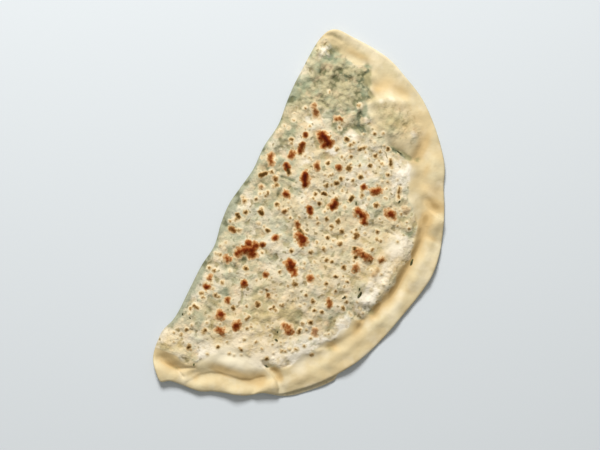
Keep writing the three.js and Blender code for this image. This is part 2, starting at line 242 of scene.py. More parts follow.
# The round ones: x, y, width, and how dark they went.
ROUND_BLISTERS = [
    (16.5, 20.3, 2.5, 0.92), (55.2, 57.2, 2.1, 0.5), (22.9, 15.2, 2.6, 0.86),
    (64.2, 16.5, 3.9, 0.82), (-38.5, 85.5, 3.6, 0.42), (-16, 19.5, 3.2, 0.86),
    (-51.5, 14, 2.5, 0.92), (31, 29.5, 2.6, 0.92), (9.5, 25, 2.7, 0.86), (33, 5.5, 3.1, 0.8),
    (54.5, 16.5, 2.5, 0.86), (52.8, 2, 2.7, 0.86), (47.5, 1.5, 2.6, 0.54), (59.5, 3, 1.9, 0.6),
    (21.6, 53.7, 2.8, 0.72), (22.6, 76.6, 1.6, 0.6), (-43, 39.8, 2.6, 0.86),
    (-39.5, 57.5, 2.6, 0.86), (-13, 4.5, 2.4, 0.5), (7.3, 68.2, 2.1, 0.73),
    (41.3, 36.5, 2.3, 0.75), (48.5, 33, 2.2, 0.83), (-26, 47, 2.2, 0.77), (-6.5, 23, 2.3, 0.66),
    (-45.5, 8, 1.5, 0.8), (-43.5, 8.8, 1.3, 0.66), (-21, 9.5, 2.3, 0.73), (-18, 12.2, 1.5, 0.85),
    (-8, 17, 1.4, 0.8), (-23.5, 6, 1.8, 0.55), (-1.5, -0.5, 2.2, 0.6), (-5.5, 5, 1.6, 0.51),
    (-42.5, 32.5, 1.7, 0.66), (4, 3, 1.5, 0.8), (33, 0.5, 1.4, 0.56), (33, 17.5, 1.7, 0.8),
    (8, 19, 1.9, 0.67), (42.5, -1.5, 1.5, 0.66), (42.5, 2, 1.4, 0.6), (54.8, 8.8, 1.5, 0.8),
    (55, 10.7, 1.3, 0.66), (46.5, 9, 1.9, 0.6), (52.5, 28, 1.6, 0.56), (57, 21.5, 1.6, 0.8),
    (57.5, 1, 1.4, 0.66), (68.5, -0.5, 1.4, 0.6), (80, 3, 1.4, 0.71), (84.5, 1, 1.5, 0.6),
    (81, 23.5, 1.5, 0.6), (-80, 15.5, 1.4, 0.51), (-80.5, 34, 1.6, 0.6), (-70, 49.5, 1.6, 0.62),
    (-72.3, 54, 1.4, 0.51), (-60, 36.5, 1.6, 0.8), (-57.5, 40, 1.5, 0.66), (-59, 55.5, 1.5, 0.71),
    (-62.3, 57, 1.3, 0.6), (-65.5, 60.5, 1.5, 0.66), (-56.5, 61, 1.2, 0.6), (-52, 34, 1.4, 0.66),
    (-51.8, 43, 1.3, 0.66), (-49.5, 49.8, 1.4, 0.56), (-52.3, 55.3, 1.5, 0.8),
    (-52.2, 67.2, 1.4, 0.66), (-48.2, 68.8, 1.3, 0.6), (-43, 33, 1.5, 0.66),
    (-45, 45.3, 2.1, 0.82), (-44.2, 53.2, 1.9, 0.77), (-40, 50.3, 1.4, 0.56),
    (-34.5, 59, 1.6, 0.66), (-38, 44, 1.7, 0.71), (-34.5, 42.8, 2, 0.82),
    (-37, 37.3, 1.2, 0.56), (-30.8, 38, 1.7, 0.71), (-19.2, 39, 1.6, 0.89),
    (-23.5, 34.5, 1.5, 0.66), (-20.5, 34.5, 1.2, 0.6), (-32.5, 47.3, 1.2, 0.6),
    (-24, 53, 1.5, 0.56), (-33.3, 69, 2.2, 0.75), (-39.5, 72, 1.6, 0.56),
    (-13.3, 46.8, 1.6, 0.71), (-8.8, 43.2, 1.8, 0.71), (-10.8, 51, 1.5, 0.66),
    (-14.8, 53.5, 2, 0.79), (-10.9, 58, 2, 0.73), (-4, 52, 1.8, 0.66), (-4, 60, 2.2, 0.73),
    (-1, 71.5, 1.6, 0.85), (12.2, 36.8, 1.6, 0.66), (8, 47, 1.9, 0.67), (1.5, 48, 1.5, 0.56),
    (26.2, 36.2, 1.5, 0.6), (29, 47.2, 2, 0.82), (38.8, 34.2, 1.3, 0.55), (45.8, 42, 1.4, 0.66),
    (47.6, 41, 1.3, 0.66), (47, 44, 1.3, 0.66), (42.5, 46.3, 1.6, 0.66), (3, 53, 1.9, 0.66),
    (8, 57.5, 1.9, 0.67), (7.5, 60.7, 1.7, 0.66), (31.5, 55.7, 1.5, 0.66), (33, 61.2, 1.6, 0.66),
    (37.2, 64, 1.6, 0.62), (36, 68.5, 1.5, 0.6), (44.4, 65.2, 2.1, 0.75), (47, 61, 2, 0.5),
    (20.3, 63.3, 1.6, 0.66), (14.3, 66, 1.8, 0.66), (22, 70, 1.8, 0.6), (13.8, 74, 1.4, 0.66),
    (63.8, 34, 1.4, 0.56), (70, 35.5, 1.7, 0.55), (76.5, 36.3, 1.8, 0.6), (68.7, 42, 1.5, 0.6),
    (71, 47, 1.4, 0.51), (61.5, 47.7, 1.3, 0.56), (74.7, 51.8, 1.6, 0.66), (66.8, 57.8, 1.4, 0.6),
    (62.3, 64.8, 1.6, 0.6), (61, 74.5, 1.4, 0.66), (-20, 76.5, 2, 0.6), (-16, 78, 1.2, 0.66),
    (-16, 80.3, 1.2, 0.66), (-9, 78.5, 1.6, 0.62), (28.7, 78.5, 1.8, 0.66),
    (24.4, 78.2, 1.6, 0.66),
]

# Where the greens show through the dough: x, y, reach along x, reach along y, strength.
GREEN_PATCHES = [
    (-92, 8, 12, 12, 0.6), (-84, 20, 14, 14, 0.55), (-72, 6, 8, 13, 0.45), (-95, 28, 8, 4, 0.6),
    (-99, 29, 3, 2, 0.5), (-94, 31.5, 3, 2.5, 0.4), (-88, 36.5, 2.2, 3, 0.6),
    (-76, 37, 6, 3, 0.6), (-68.5, 42, 3.5, 4, 0.8), (-93, 20, 3.5, 5, 0.6), (-101, 10, 3, 5, 0.3),
    (-82, 31, 6, 4, 0.3), (-104.5, 7, 2.5, 4, 0.5), (-111, 4, 1.5, 3, 0.4), (-66, -3, 3, 2, 0.6),
    (-63, 31, 4, 3, 0.4), (-81, 56, 9, 13, 0.5), (-96, 33, 8, 4, 0.3), (44, 55, 5, 6, 0.5),
    (60, 50, 5, 4, 0.5), (58.5, 49.5, 2.4, 2, 0.5), (46, 47, 3.5, 2.5, 0.8),
    (29, 84, 3.5, 4, 0.6), (17.5, 83.7, 3, 1.3, 0.7), (14.5, 82, 2, 1.5, 0.5),
    (-66.8, 69, 1.8, 7, 1), (-68, 79, 2, 2, 0.7), (-41, 79.5, 2.5, 3, 0.5),
    (-29, 58, 4, 3, 0.4), (-33, 89, 3, 5, 0.4), (-27, 93, 2.5, 3.5, 0.6), (33, 20, 8, 4, 0.25),
    (50, 14, 7, 4, 0.3), (-22, 73, 5, 9, 0.25), (36, 74, 8, 5, 0.3), (64, 8, 10, 6, 0.3),
    (-30, 74, 5, 6, 0.2), (79, 53.6, 0.9, 1.6, 1), (53, 82, 2.5, 3, 0.6),
    (23.5, 92, 2.4, 4.5, 0.9), (20, 31, 9, 6, 0.2), (57, 36, 7, 8, 0.2), (-38, 5, 20, 8, 0.3),
    (0, 9, 24, 9, 0.28), (32, 9, 16, 9, 0.3), (82, 10, 8, 7, 0.2), (72, -2, 8, 5, 0.3),
    (-111, 25, 5, 24, 0.3), (-105, 50, 4, 12, 0.25), (100, 2, 4, 9, 0.3),
    (103.8, 6.5, 1.3, 2.6, 0.4), (-50, 0, 6, 6, 0.6), (-67, 30, 6, 5, 0.45),
    (-16, 17, 10, 8, 0.2), (-20, 0, 9, 6, 0.2), (46, 50, 4, 10, 0.3), (51, 38, 6, 6, 0.5),
    (42, 31, 9, 5, 0.5), (-64, 28, 6, 5, 0.25), (-42, 80, 5, 5, 0.4), (-88, 43, 5, 4, 0.3),
    (-70, 0, 7, 6, 0.3),
]

# Where the dough is a little golden, in the same way.
GOLDEN_PATCHES = [
    (72, 38, 12, 20, 0.6), (50, 42, 24, 20, 0.8), (-4, 80, 22, 13, 0.8), (8, 60, 24, 16, 0.4),
    (80, 20, 9, 9, 0.4), (-8, 96, 14, 5, 0.5), (-35, 86, 10, 8, 0.5), (24, 14, 9, 7, 0.3),
    (90, -2, 8, 6, 1), (92, 8, 4, 8, 0.6), (-82, 58, 9, 13, 0.7),
]

# Stalks and leaf ribs that show through, and dark green lines along creases and along the lower
# border of the green part: a line of places, reach and strength.
GREEN_LINES = [
    ([(-23.5, 11.5), (-24, 15), (-24.6, 20)], 0.6, 1.1),
    ([(28.3, 15.3), (30.2, 12.9), (33.6, 12), (37.6, 12.6)], 0.6, 0.9),
    ([(44, 20), (48, 23), (53, 24.5)], 0.6, 0.6),
    ([(-71.5, 7), (-72.8, 13), (-71.5, 19)], 0.7, 0.5),
    ([(-104, 28), (-100.5, 31), (-98, 28.5), (-95, 34), (-92.5, 32), (-89, 39), (-86, 36.5)],
     1.3, 0.7),
    ([(-77, 36), (-70, 39), (-67.5, 45)], 1.7, 0.5),
    ([(-67.4, 62), (-66.5, 68), (-66.2, 74)], 1.1, 0.8),
]

# Bits of leaf that broke through: x, y, length, width, and turn in degrees. Each is a crumpled
# scrap, half of it in the dough.
LEAVES = [
    (-13, 102.4, 4.2, 1.4, 4), (17.5, 83.7, 4.2, 1.6, -8), (14.6, 82, 1.7, 1.1, 30),
    (62.5, 52, 2.2, 1.3, 80), (58, 50.6, 1.6, 0.9, 5), (96.7, 15.6, 1.3, 1, 0),
    (-29, 58, 2.3, 1, 20), (-41, 80, 1.9, 1.1, 0), (79.1, 53.7, 2.6, 1, 84),
    (22.9, 76.2, 2.8, 0.8, -42), (22.5, 76.4, 2.2, 0.7, 55), (73.5, -3.4, 1.6, 0.9, 30),
    (73.4, 1.6, 1.4, 0.8, 60), (-66.8, 67.5, 4, 0.9, 82),
]
LEAF_THICKNESS = 0.5
LEAF_SPOTS = 0.8  # width of the lighter spots

# Where dry flour sits on it, in the same way. Some rows are painted highlight as well: the pale
# patches on the dome's crest and on the lump below it, and several on slopes near the filling's
# border that face away from the window.
FLOUR_AND_HIGHLIGHT_PATCHES = [
    (70, 51, 7, 9, 0.7), (84, 33, 8, 19, 0.9), (65, 63, 8, 7, 0.6), (-17, 90, 9, 6, 0.85),
    (0, 92, 9, 6, 0.5), (-40, 19.5, 7, 4, 0.6), (-50, 50, 9, 8, 0.4), (39, 83, 8, 4, 0.8),
    (-63, 37, 3.4, 6.5, 0.4), (-60, 14, 5, 8, 0.4), (-56, 74, 9, 6, 0.5), (16, 88, 11, 6, 0.8),
    (-51, 32, 5, 5, 0.85), (62, 40, 10, 8, 0.3), (51, 76, 5, 5, 0.65), (-60, 68, 4, 8, 0.15),
    (60, 70, 8, 5, 0.65), (70, 31, 6, 7, 0.7), (90, 18, 4, 5, 0.5), (79, 49, 4.5, 5, 0.8),
    (-100, 2, 5, 4, 0.5), (-15, 70, 8, 6, 0.35), (-50, 60, 6, 5, 0.35), (-31, 40, 6, 5, 0.35),
    (31, 61, 6, 5, 0.35), (0, 10, 5, 4, 0.4), (-113, 24, 5, 26, 0.6), (-109, 54, 5, 12, 0.4),
    (14, 106, 14, 4, 0.55), (-59, 79, 6, 5, 0.45), (72, 73, 6, 6, 0.5),
    (20.6, 9.6, 1.6, 2.4, 0.5), (-92.5, 49.5, 2, 3.5, 0.7), (-88.5, 44, 2.2, 3, 0.6),
    (-80, 69.5, 3.5, 2.6, 0.5),
]

# Where the rim is tan and bare of flour, in the same way. Much of it is painted shade as well:
# in the grooves round the filling, on puckers and slopes that face away from the window, and in
# the hollows on and round the dome.
TAN_AND_SHADE_PATCHES = [
    (-107, 21, 2.4, 9, 0.7), (-97, 42, 5, 5, 0.3), (-94, 39, 4, 4, 0.6), (-99, 53, 2.6, 9, 0.4),
    (-75, 78, 10, 3.5, 1), (-56, 97, 5, 5, 0.5), (-83, 59, 9, 13, 0.8), (-65, 86, 5, 2.5, 0.6),
    (-56, 91, 6, 4, 0.3), (-48.4, 100, 3.4, 6.5, 1.3), (-34, 98, 8, 2.5, 0.7),
    (-40, 98, 4, 3, 1), (-102, 47, 4, 9, 0.35), (103, 3, 1.6, 7, 0.5), (-31, 107, 2, 4, 0.6),
    (-18, 101.2, 19, 2.4, 1.5), (5, 99.6, 10, 2.4, 1.6), (20, 96, 7, 2.6, 1.7),
    (33, 91, 7, 2.6, 1.3), (-20, 106, 9, 2.6, 0.35), (51.5, 82.5, 2.6, 3.5, 1.1),
    (67, 84, 3, 5, 0.4), (78.5, 59, 1.8, 3.4, 1.25), (81.4, 63.6, 2.4, 2.6, 1.1),
    (87, 54.5, 4, 2.5, 0.5), (88, 52, 5, 8, 0.6), (91, 42, 2.8, 9, 0.8), (92.6, 30, 2.8, 7, 0.8),
    (94.3, 32, 0.8, 6, 0.6), (103.6, 4, 1.2, 5, 0.6), (100, 1, 4.5, 9, 0.9), (103, 20, 4, 2, 0.6),
    (30, 104, 10, 4, 0.2), (56, 93, 8, 4, 0.2), (3, 109, 2, 4, 0.4),
]

# Where the dough is smoother than the rest of its part, or less smooth, in the same way.
SMOOTH_PATCHES = [
    (-38, 18, 5, 3, 0.7), (-16, 86, 5, 4, 0.6), (81, 35, 5, 16, 0.8), (-78, 56, 8, 14, -0.75),
    (-86, 58, 7, 11, -0.6), (-80, 71, 6, 4, -0.35), (-90, 45, 6, 4, -0.3), (100, -2, 4, 5, -0.2),
]

# Layers of noise: how wide their bumps are, how high or how far they go, and a seed.
LUMPS = [(4.5, 0.7, 3.0), (2.2, 0.75, 7.0), (1.2, 0.25, 11.0)]  # greens under the dough
LEAFY_LUMPS = [(2.0, 0.8, 13.0), (1.3, 0.6, 17.0)]  # more of them, where greens show
KNEADING = [(7, 0.9, 41.0), (3.4, 0.6, 43.0), (1.8, 0.12, 47.0)]  # the smooth dough
RAGGEDNESS = [(2.2, 1.6, 33.0), (5, 3.6, 35.0)]  # how the lumps' border wanders
LEAF_CRUMPLING = [(0.9, 0.3, 51.0)], [(0.9, 0.3, 53.0)], [(0.7, 0.1, 57.0)]  # along x, y, z

SMOOTH_SPAN = 1.8, -1  # smoothness starts this far inside the lumps' border, full at the second
FLOUR_FILLS = 0.85  # how much of the lumps' height flour takes away
MOST_GREEN = 1.2  # greens are never stronger than this

# Along the fold the dough is stretched thin: fully at the first y, and no more at the second.
STRETCHED_Y = -6, -1
STRETCHED_MIDDLE, STRETCHED_HALF_LENGTH = 2, 88  # from here, this far along x each way
STRETCHED_FADE = 16

# Small blisters strewn over the top: a seed, how many are tried, their range in x, in y, in
# width and in browning, and how far inside the grainy part they stay.
STREWN_BLISTERS = [
    (11, 560, (-70, 92), (-4, 94), (0.6, 1.3), (0.28, 0.58), 2),  # pimples, hardly browned
    (31, 150, (-108, -68), (-3, 34), (1.1, 2.6), (0.26, 0.34), 1.5),  # pale beads on greens
]

# Blisters strewn over the underside.
UNDERSIDE_SEED, UNDERSIDE_BLISTERS = 23, 260
UNDERSIDE_X, UNDERSIDE_Y = (-100, 100), (0, 100)
UNDERSIDE_NARROWEST, UNDERSIDE_WIDEST = 0.8, 6
UNDERSIDE_RARITY = 0.8  # per mm: how fast wider ones grow rare
UNDERSIDE_LENGTHS = 0, 0.8  # how much longer than wide they are, as a share of their width
UNDERSIDE_BROWNING = 0.4, 0.95
UNDERSIDE_INSET = 2  # how far inside the filling they stay

# The ragged outline of a blister: how wide its bumps are, how far they go, a seed, and the
# width of a blister on which they are full.
BLISTER_RAGGEDNESS = [(0.8, 0.8, 21.0, 3), (1.6, 1.8, 27.0, 5)]
OUTSIDE_ALL = -9.0  # depth where there is no blister
PALE = 0.5  # blisters that browned no more than this are alike all over
PALE_DEPTH = 0.6  # and count as no deeper than this
DEPTH_OF_BROWNING = 5  # browner ones count as deeper, by this times what they are over PALE
BROWNING_WEIGHT = 1.2  # where blisters overlap, browning counts as this many mm of depth
DOME_REACH, DOME_REACH_MORE = 0.75, 0.5  # its dome's reach: a share of its width, and more mm
DOME_HEIGHT, DOME_HEIGHT_MORE = 0.2, 0.32  # its dome's height in the same way


def smoothstep(values, low, high):
    share = np.clip((values - low) / (high - low), 0, 1)
    return share * share * (3 - 2 * share)


def mix(low, high, share):
    return low + (high - low) * share


def bell(distance):
    """A bell of height 1 over a distance given in its own reach."""
    return np.exp(-distance * distance)


def patches(x, y, rows):
    """Sum of soft round patches: x, y, reach along x, reach along y, strength."""
    return sum(
        strength * bell(np.hypot((x - cx) / reach_x, (y - cy) / reach_y))
        for cx, cy, reach_x, reach_y, strength in rows
    )


def stretch_distance(x, y, a, b):
    """How far x, y is from the straight stretch that joins a and b."""
    (ax, ay), (bx, by) = a, b
    length_squared = (bx - ax) ** 2 + (by - ay) ** 2
    if length_squared == 0:
        return np.hypot(x - ax, y - ay)
    share = np.clip(((x - ax) * (bx - ax) + (y - ay) * (by - ay)) / length_squared, 0, 1)
    return np.hypot(x - mix(ax, bx, share), y - mix(ay, by, share))


def line_distance(x, y, line):
    """Distance to a line through places, and the side: 1 on its left to -1 on its right."""
    nearest = np.full(x.shape, np.inf)
    side = np.zeros(x.shape)
    for (ax, ay), (bx, by) in zip(line, line[1:]):
        distance = stretch_distance(x, y, (ax, ay), (bx, by))
        offset = ((bx - ax) * (y - ay) - (by - ay) * (x - ax)) / math.hypot(bx - ax, by - ay)
        nearer = distance < nearest
        side = np.where(nearer, offset / np.maximum(distance, 1e-6), side)
        nearest = np.where(nearer, distance, nearest)
    return nearest, side


def rough(x, y, across, seed):
    """Smooth noise, from about -1 to 1, with bumps about across mm wide."""
    scale = HALF_WAVE / across
    return np.array([noise.noise((a * scale, b * scale, seed)) for a, b in zip(x, y)])


def layered(x, y, layers):
    """The sum of layers of noise."""
    return sum(height * rough(x, y, across, seed) for across, height, seed in layers)


def closed_curve(knots, steps):
    """Points on the closed centripetal Catmull-Rom curve through the knots, steps a knot."""
    here = np.array(knots, float)
    before, after, later = (np.roll(here, shift, axis=0) for shift in (1, -1, -2))

    def reach(a, b):
        return np.sqrt(np.linalg.norm(b - a, axis=1))[:, None]

    reach_0, reach_1, reach_2 = reach(before, here), reach(here, after), reach(after, later)
    start = (here - before) / reach_0 - (after - before) / (reach_0 + reach_1)
    start = (start + (after - here) / reach_1) * reach_1
    end = (after - here) / reach_1 - (later - here) / (reach_1 + reach_2)
    end = (end + (later - after) / reach_2) * reach_1
    t = (np.arange(steps) / steps)[None, :, None]
    here, after, start, end = (p[:, None, :] for p in (here, after, start, end))
    square = 3 * (after - here) - 2 * start - end
    cube = 2 * (here - after) + start + end
    return (here + start * t + square * t**2 + cube * t**3).reshape(-1, 2)


def inside_distance(x, y, knots):
    """Signed distance to a border: positive inside."""
    border = closed_curve(knots, BORDER_STEPS)
    nearest = np.full(x.shape, np.inf)
    inside = np.zeros(x.shape, bool)
    for a, b in zip(border, np.roll(border, -1, axis=0)):
        nearest = np.minimum(nearest, stretch_distance(x, y, a, b))
        if a[1] != b[1]:
            crossing = a[0] + (y - a[1]) / (b[1] - a[1]) * (b[0] - a[0])
            inside ^= ((a[1] > y) != (b[1] > y)) & (x < crossing)
    return np.where(inside, nearest, -nearest)


class Surface:
    """Everything about the dough that depends on the place x, y alone."""

    def __init__(self, x, y):
        self.x, self.y = x, y
        self.inside = inside_distance(x, y, FILLING)
        shoulder = SHOULDER_SHARE * smoothstep(self.inside, 0, SHOULDER_WIDTH)
        spread = (1 - SHOULDER_SHARE) * smoothstep(self.inside, 0, SPREAD_WIDTH)
        self.filled = shoulder + spread
        ragged = inside_distance(x, y, GRAINY) + layered(x, y, RAGGEDNESS)
        smooth = smoothstep(ragged, *SMOOTH_SPAN)
        self.smooth = np.clip(smooth + patches(x, y, SMOOTH_PATCHES), 0, 1)
        from_ends = STRETCHED_HALF_LENGTH - np.abs(x - STRETCHED_MIDDLE)
        lengthwise = smoothstep(from_ends, 0, STRETCHED_FADE)
        self.stretched = (1 - smoothstep(y, *STRETCHED_Y)) * lengthwise
        lines = sum(
            strength * bell(line_distance(x, y, line)[0] / reach)
            for line, reach, strength in GREEN_LINES
        )
        self.greens = np.clip(patches(x, y, GREEN_PATCHES) + lines, 0, MOST_GREEN)
        # Flour is partly painted highlight here, and tan partly painted shade.
        self.flour = np.clip(patches(x, y, FLOUR_AND_HIGHLIGHT_PATCHES), 0, 1)
        self.golden = patches(x, y, GOLDEN_PATCHES)
        self.tan = patches(x, y, TAN_AND_SHADE_PATCHES)
        self.lumps = self.grain()

    def underside(self):
        """Flat below the filling, and off the surface where the rim lifts."""
        on_surface = smoothstep(self.inside, -LIFT_START, LIFT_END)
        lift = sum(
            height * bell(np.hypot(self.x - cx, self.y - cy) / reach)
            for cx, cy, reach, height in LIFTS
        )
        return lift * (1 - on_surface)

    def filling_height(self):
        waves = sum(
            height * np.sin(2 * math.pi * (per_x * self.x + per_y * self.y) + phase)
            for per_x, per_y, phase, height in UNEVENNESS
        )
        return FILLED_THICKNESS - RIM_THICKNESS + waves

    def folds(self):
        grooves = [(line, -depth, left, right) for line, depth, left, right in GROOVES]
        total = np.zeros(self.x.shape)
        for line, height, left_reach, right_reach in grooves + FOLDS:
            distance, side = line_distance(self.x, self.y, line)
            reach = mix(right_reach, left_reach, smoothstep(side, -1, 1))
            total += height * bell(distance / reach)
        return total

    def grain(self):
        """Lumps of the chopped greens that press through, or the smooth dough's own waves."""
        lumps = layered(self.x, self.y, LUMPS) * (1 - FLOUR_FILLS * self.flour)
        lumps += layered(self.x, self.y, LEAFY_LUMPS) * self.greens
        return mix(lumps, layered(self.x, self.y, KNEADING), self.smooth)

    def top(self, marks):
        swelling = RIM_SWELLING * bell((self.inside + RIM_SWELLING_AT) / (RIM_SWELLING_AT / 2))
        swelling *= smoothstep(self.x, *RIM_SWELLING_X)
        thickness = RIM_THICKNESS + self.filling_height() * self.filled + swelling
        thickness += patches(self.x, self.y, MOUNDS) + self.folds() + self.lumps
        over = (thickness - THINNEST) / THINNEST_SOFTNESS
        thickness = THINNEST + THINNEST_SOFTNESS * np.logaddexp(0, over)
        return self.underside() + thickness + marks.dome


def kept_inside(rows, border, inset):
    """The blisters that start further than inset inside a border."""
    inside = inside_distance(*np.array(rows).T[:2], border)
    return [row for row, distance in zip(rows, inside) if distance > inset]


def strewn_blisters(seed, count, x_range, y_range, widths, brownings, inset):
    """Small round blisters at random places on the grainy part."""
    draw = random.Random(seed)
    rows = []
    for _ in range(count):
        x, y = draw.uniform(*x_range), draw.uniform(*y_range)
        rows.append((x, y, x, y, draw.uniform(*widths), draw.uniform(*brownings)))
    return kept_inside(rows, GRAINY, inset)


def top_blisters():
    """All the blisters of the top: x, y to x, y, width, browning."""
    rows = LONG_BLISTERS + [(x, y, x, y, *looks) for x, y, *looks in ROUND_BLISTERS]
    for strewn in STREWN_BLISTERS:
        rows += strewn_blisters(*strewn)
    return rows


def underside_blisters():
    """The marks of the griddle on the underside, which lay on it first."""
    draw = random.Random(UNDERSIDE_SEED)
    rows = []
    for _ in range(UNDERSIDE_BLISTERS):
        x, y = draw.uniform(*UNDERSIDE_X), draw.uniform(*UNDERSIDE_Y)
        width = UNDERSIDE_NARROWEST + draw.expovariate(UNDERSIDE_RARITY)
        turn, length = draw.uniform(0, math.pi), draw.uniform(*UNDERSIDE_LENGTHS) * width
        end = (x + length * math.cos(turn), y + length * math.sin(turn))
        rows.append((x, y, *end, min(width, UNDERSIDE_WIDEST), draw.uniform(*UNDERSIDE_BROWNING)))
    return kept_inside(rows, FILLING, UNDERSIDE_INSET)


class Marks:
    """The browned blisters as fields: how deep inside the strongest one a place is, that one's
    browning and width, and the dome that it makes."""

    def __init__(self, x, y, rows):
        bumps = [(layered(x, y, [layer]), full) for *layer, full in BLISTER_RAGGEDNESS]
        self.depth = np.full(x.shape, OUTSIDE_ALL)
        self.browning = np.zeros(x.shape)
        self.width = np.zeros(x.shape)
        self.dome = np.zeros(x.shape)
        for ax, ay, bx, by, width, browning in rows:
            to_middle = stretch_distance(x, y, (ax, ay), (bx, by))
            ragged = sum(bump * min(1, width / full) for bump, full in bumps)
            deepest = PALE_DEPTH + DEPTH_OF_BROWNING * max(0, browning - PALE)
            depth = np.minimum(width / 2 - to_middle - ragged, deepest)
            weight = depth + BROWNING_WEIGHT * browning
            stronger = weight > self.depth + BROWNING_WEIGHT * self.browning
            self.depth = np.where(stronger, depth, self.depth)
            self.browning = np.where(stronger, browning, self.browning)
            self.width = np.where(stronger, width, self.width)
            reach = DOME_REACH * width + DOME_REACH_MORE
            height = DOME_HEIGHT * width + DOME_HEIGHT_MORE
            dome = height * (1 - np.clip(to_middle / reach, 0, 1) ** 2) ** 2
            self.dome = np.maximum(self.dome, dome)


# ---------------------------------------------------------------------------------------------
# The shell
# ---------------------------------------------------------------------------------------------

LENGTH_STEPS = 376  # of the top's grid, along the fold
WIDTH_STEPS = 176  # and across it
UNDERSIDE_COARSER = 2  # the underside's steps are this many times longer
RELAX_ROUNDS = 60
SAME_PLACE = 0.01  # vertices this near are one

# Rings from the top's border round the edge to the underside's: how far in, and the level.
RIM_RINGS = [
    (1.6, 1.0), (0.9, 0.97), (0.45, 0.86), (0.25, 0.7), (0.45, 0.56), (0.8, 0.5), (0.4, 0.42),
    (0.1, 0.28), (0.3, 0.12), (0.9, 0.02), (2.0, 0.0),
]

# The lower sheet shows beyond the upper one on one stretch of the rim.
PEEK = 2.2  # how far
PEEK_X = 64, 68, 84, 95  # starts, is full, is full, ends
LOWER_SHEET_LEVELS = 0.05, 0.45  # its rings are those with levels between these

# How much of the top's looks the underside has, which is pressed flat.
UNDERSIDE_LOOKS = {
    "greens": 0.6, "flour": 0.3, "smooth": 0.6, "tan": 0.5, "lumps": 0.5,
    "stretched": 0.7, "golden": 0.8,
}
TOP_LOOKS_FROM = 0.48  # level on the edge from which the top's looks hold


def fold_ring(turn):
    """Inset and level on the rounded fold, where turn goes from 1 at the top to -1 below."""
    angle = turn * math.pi / 2
    face = 1 if turn > 0 else 0
    return FOLD_ROUNDING * (1 - math.cos(angle)), mix(EDGE_LEVEL, face, abs(math.sin(angle)))


def outline_curve():
    """Points all round the outline, with the first one again at the end."""
    curve = closed_curve(OUTLINE, OUTLINE_STEPS)
    return np.vstack([curve, curve[:1]])


def even_points(curve, count):
    """count steps of equal length along a curve given by many points."""
    run = np.concatenate([[0], np.cumsum(np.linalg.norm(np.diff(curve, axis=0), axis=1))])
    at = np.linspace(0, run[-1], count + 1)
    return np.column_stack([np.interp(at, run, curve[:, k]) for k in range(2)])


class Edge:
    """The outline in steps that match the border of the top's grid, anticlockwise from the
    fold's first end, with the way inwards and how far each place is on the fold."""

    def __init__(self):
        curve = outline_curve()
        ends = [knot * OUTLINE_STEPS for knot in CORNERS] + [len(curve) - 1]
        counts = (LENGTH_STEPS, WIDTH_STEPS) * 2
        sides = [
            even_points(curve[a : b + 1], count)[:-1]
            for a, b, count in zip(ends, ends[1:], counts)
        ]
        self.points = np.vstack(sides)
        along = np.roll(self.points, -1, axis=0) - np.roll(self.points, 1, axis=0)
        along /= np.linalg.norm(along, axis=1)[:, None]
        self.inward = np.column_stack([-along[:, 1], along[:, 0]])
        x, y = self.points.T
        lengthwise = smoothstep(FOLD_HALF_LENGTH - np.abs(x), 0, FOLD_FADE)
        self.fold = lengthwise * (1 - smoothstep(y, 0, FOLD_REACH))
        peeking = smoothstep(x, *PEEK_X[:2]) * (1 - smoothstep(x, *PEEK_X[2:]))
        self.peek = PEEK * peeking * (1 - self.fold)

    def ring(self, number):
        """The places and the levels of one ring."""
        rim_inset, rim_level = RIM_RINGS[number]
        fold_inset, fold_level = fold_ring(1 - 2 * number / (len(RIM_RINGS) - 1))
        bottom, top = LOWER_SHEET_LEVELS
        if bottom < rim_level < top:
            rim_inset = rim_inset - self.peek
        inset = mix(rim_inset, fold_inset, self.fold)
        return self.points + self.inward * inset[:, None], mix(rim_level, fold_level, self.fold)


def fitted_grid(bm, border, columns, rows):
    """A grid whose border lies on the given places, which go round it from its first corner.
    Its inside is blended from its four sides, and then relaxed."""
    verts = bmesh.ops.create_grid(bm, x_segments=columns, y_segments=rows, size=0.5)["verts"]
    border = np.vstack([border, border[:1]])
    corner = np.cumsum([0, columns, rows, columns, rows])
    fold, far, rim, near = (border[a : b + 1] for a, b in zip(corner, corner[1:]))
    rim, near = rim[::-1], near[::-1]
    u = np.linspace(0, 1, columns + 1)[None, :, None]
    v = np.linspace(0, 1, rows + 1)[:, None, None]
    places = mix(fold[None], rim[None], v) + mix(near[:, None], far[:, None], u)
    places -= mix(mix(fold[0], fold[-1], u), mix(rim[0], rim[-1], u), v)
    for vert, (x, y) in zip(verts, places.reshape(-1, 2)):
        vert.co = (x, y, 0)
    inner = [vert for vert in verts if not vert.is_boundary]
    for _ in range(RELAX_ROUNDS):
        bmesh.ops.smooth_vert(bm, verts=inner, factor=0.5, use_axis_x=True, use_axis_y=True)
    return verts


def border_order(columns, rows):
    """The grid's vertex numbers round its border, from its first corner along its first side."""
    width = columns + 1
    first = list(range(columns))
    second = [j * width + columns for j in range(rows)]
    third = [rows * width + i for i in range(columns, 0, -1)]
    fourth = [j * width for j in range(rows, 0, -1)]
    return first + second + third + fourth


